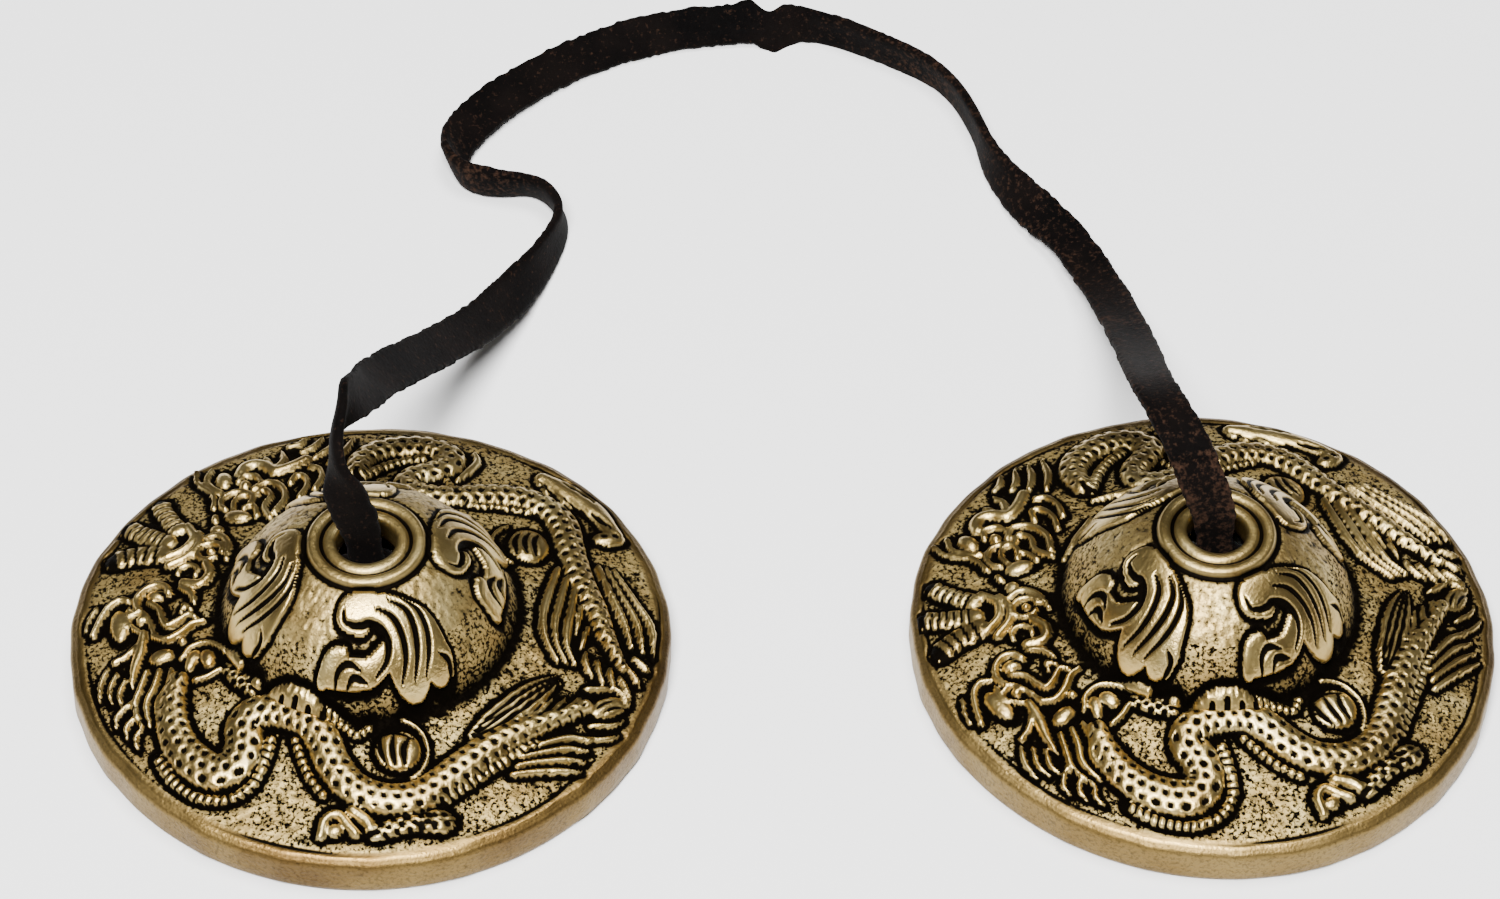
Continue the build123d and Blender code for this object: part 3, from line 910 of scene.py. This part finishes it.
def bronze_material():
    """Antique bronze: polished high spots, black patina in the recesses, pitted ground, and a rim wall and
    underside made darker, partly with painted shade.
    """
    n = Nodes("antique_bronze")
    stain = n.noise(180, 5)
    patch = n.noise(55, 3)
    fine = n.noise(2300, 4, 0.6)
    pits = n.noise(2600, 2)
    specks = n.math("MULTIPLY", n.math("SUBTRACT", fine, 0.47), n.math("MULTIPLY", n.attribute("pitted"), 4))
    dark = n.math("ADD", n.attribute("patina"), n.math("MAXIMUM", specks, 0))
    polished = n.ramp(stain, [
        (0.3, (0.36, 0.24, 0.08)),
        (0.55, (0.52, 0.38, 0.14)),
        (0.75, (0.66, 0.52, 0.23)),
    ])
    # Darker bronze for the plain rim edge, the rim wall and the underside. This is partly their own duller
    # brown tone with patches, and partly painted shade: the colour is darker than the metal is, so that the
    # wall does not show the floor's bright reflection.
    wall_tone_and_shade = n.ramp(patch, [
        (0.35, (0.17, 0.10, 0.03)),
        (0.5, (0.28, 0.18, 0.055)),
        (0.7, (0.38, 0.26, 0.09)),
    ])
    metal = n.mix(n.attribute("plain"), polished, wall_tone_and_shade)
    colour = n.mix(n.ramp(dark, [(0.05, (0, 0, 0)), (0.6, (1, 1, 1))]), metal, (0.004, 0.003, 0.002))
    n.link(colour, n.shader.inputs["Base Color"])
    n.shader.inputs["Metallic"].default_value = 1.0
    dull = n.math("MULTIPLY", n.attribute("pitted"), 0.18)
    rough = n.math("ADD", n.span(dark, 0.24, 0.7), n.math("ADD", n.math("MULTIPLY", stain, 0.14), dull))
    n.link(rough, n.shader.inputs["Roughness"])
    height = n.math("ADD", pits, n.math("MULTIPLY", fine, 1.5))
    n.bump(height, 0.35, 0.00012)
    return n.material


def leather_material():
    """Dark brown-black leather with a fine grain, brown scuffs and dusty fibres."""
    n = Nodes("dark_leather")
    patch = n.noise(130, 4)
    grain = n.noise(2200, 4, 0.65)
    scuff = n.noise(1500, 5, 0.7)
    base = n.ramp(patch, [(0.35, (0.001, 0.0008, 0.0008)), (0.65, (0.003, 0.002, 0.0017))])
    rubbed = n.math("ADD", scuff, n.math("MULTIPLY", n.attribute("worn"), 0.14))
    worn = n.ramp(rubbed, [(0.58, (0, 0, 0)), (0.8, (0.8, 0.8, 0.8))])
    n.link(n.mix(worn, base, (0.040, 0.020, 0.012)), n.shader.inputs["Base Color"])
    n.link(n.span(grain, 0.6, 1.0), n.shader.inputs["Roughness"])
    n.shader.inputs["Sheen Weight"].default_value = 0.01
    n.shader.inputs["Sheen Roughness"].default_value = 0.5
    n.shader.inputs["IOR"].default_value = 1.2
    n.shader.inputs["Specular IOR Level"].default_value = 0.12
    n.bump(grain, 0.5, 0.00015)
    return n.material


def floor_material():
    """Plain pale grey."""
    n = Nodes("pale_floor")
    n.shader.inputs["Base Color"].default_value = (0.9, 0.9, 0.9, 1)
    n.shader.inputs["Roughness"].default_value = 0.8
    return n.material


# ---------------------------------------------------------------- the object
bronze = bronze_material()
leather = leather_material()
cymbal_x = {}
for side in ("left", "right"):
    low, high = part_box(f"{side}_cymbal")
    cymbal_x[side] = (low[0] + high[0]) / 2 / MM

for side, turn in (("left", 0), ("right", 29)):
    cymbal = make_cymbal(side, cymbal_x[side], turn)
    cymbal.data.materials.append(bronze)
    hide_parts(f"{side}_cymbal")
    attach(cymbal, f"{side}_cymbal")

strap = make_band_piece("leather_thong", leaves, enters)
left_end = make_band_piece("left_thong_stub", 0, leaves)
right_end = make_band_piece("right_thong_stub", enters, len(line) - 1)
knots = {}
for side in ("left", "right"):
    low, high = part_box(f"{side}_stopper_knot")
    middle = [(a + b) / 2 / MM for a, b in zip(low, high)]
    knots[side] = make_knot(f"{side}_overhand_knot", middle)
for piece in (strap, left_end, right_end, *knots.values()):
    piece.data.materials.append(leather)

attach(strap, "thong")
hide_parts("thong")
for piece, knot_body, x in (
    (left_end, "left_knot", line[leaves, 0] * MM),
    (right_end, "right_knot", line[enters, 0] * MM),
):
    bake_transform(piece)
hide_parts("left_thong_end")
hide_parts("right_thong_end")
for side, knot in knots.items():
    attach(knot, f"{side}_knot")
    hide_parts(f"{side}_stopper_knot")


# ---------------------------------------------------------------- floor, light and camera
def add_floor():
    """A large square that stands for the table, and is not part of the object."""
    size = 3000
    corners = [(-size, -size, 0), (size, -size, 0), (size, size, 0), (-size, size, 0)]
    floor = mesh_object("floor", corners, [(0, 1, 2, 3)])
    floor.data.materials.append(floor_material())


def add_light(name, place, target, size, power):
    """A white disc of light that shines from one place towards another, in metres."""
    light = bpy.data.lights.new(name, "AREA")
    light.shape = "DISK"
    light.size = size
    light.energy = power
    lamp = bpy.data.objects.new(name, light)
    lamp.location = place
    lamp.rotation_euler = (Vector(target) - Vector(place)).to_track_quat("-Z", "Y").to_euler()
    bpy.context.scene.collection.objects.link(lamp)


def add_camera():
    """Looks down at the pair from the front, 46 degrees above the surface, as the photo's does."""
    target = Vector((-3.24, 34.13, 0.0)) * MM
    distance = 616.8 * MM
    elevation = radians(46.41)
    azimuth = radians(3.46)
    roll = radians(1.86)
    camera = bpy.data.cameras.new("camera")
    camera.lens = 120
    camera.sensor_width = 36
    camera.clip_start = 0.01
    stand = bpy.data.objects.new("camera", camera)
    forward = Vector((sin(azimuth) * cos(elevation), cos(azimuth) * cos(elevation), -sin(elevation)))
    turn = Matrix.Rotation(-azimuth, 4, "Z") @ Matrix.Rotation(pi / 2 - elevation, 4, "X")
    turn = turn @ Matrix.Rotation(roll, 4, "Z")
    stand.matrix_world = Matrix.Translation(target - forward * distance) @ turn
    bpy.context.scene.collection.objects.link(stand)
    bpy.context.scene.camera = stand


def add_world():
    """An even, dim white surrounding."""
    world = bpy.data.worlds.new("studio")
    world.use_nodes = True
    background = world.node_tree.nodes["Background"]
    background.inputs["Color"].default_value = (1, 1, 1, 1)
    background.inputs["Strength"].default_value = 0.08
    bpy.context.scene.world = world


add_floor()
add_light("front_key", (-0.15, -0.55, 0.95), (0, 0.02, 0), 0.4, 38)
add_light("overhead", (0.1, 0.1, 1.1), (0, 0.02, 0), 0.5, 12)
add_camera()
add_world()
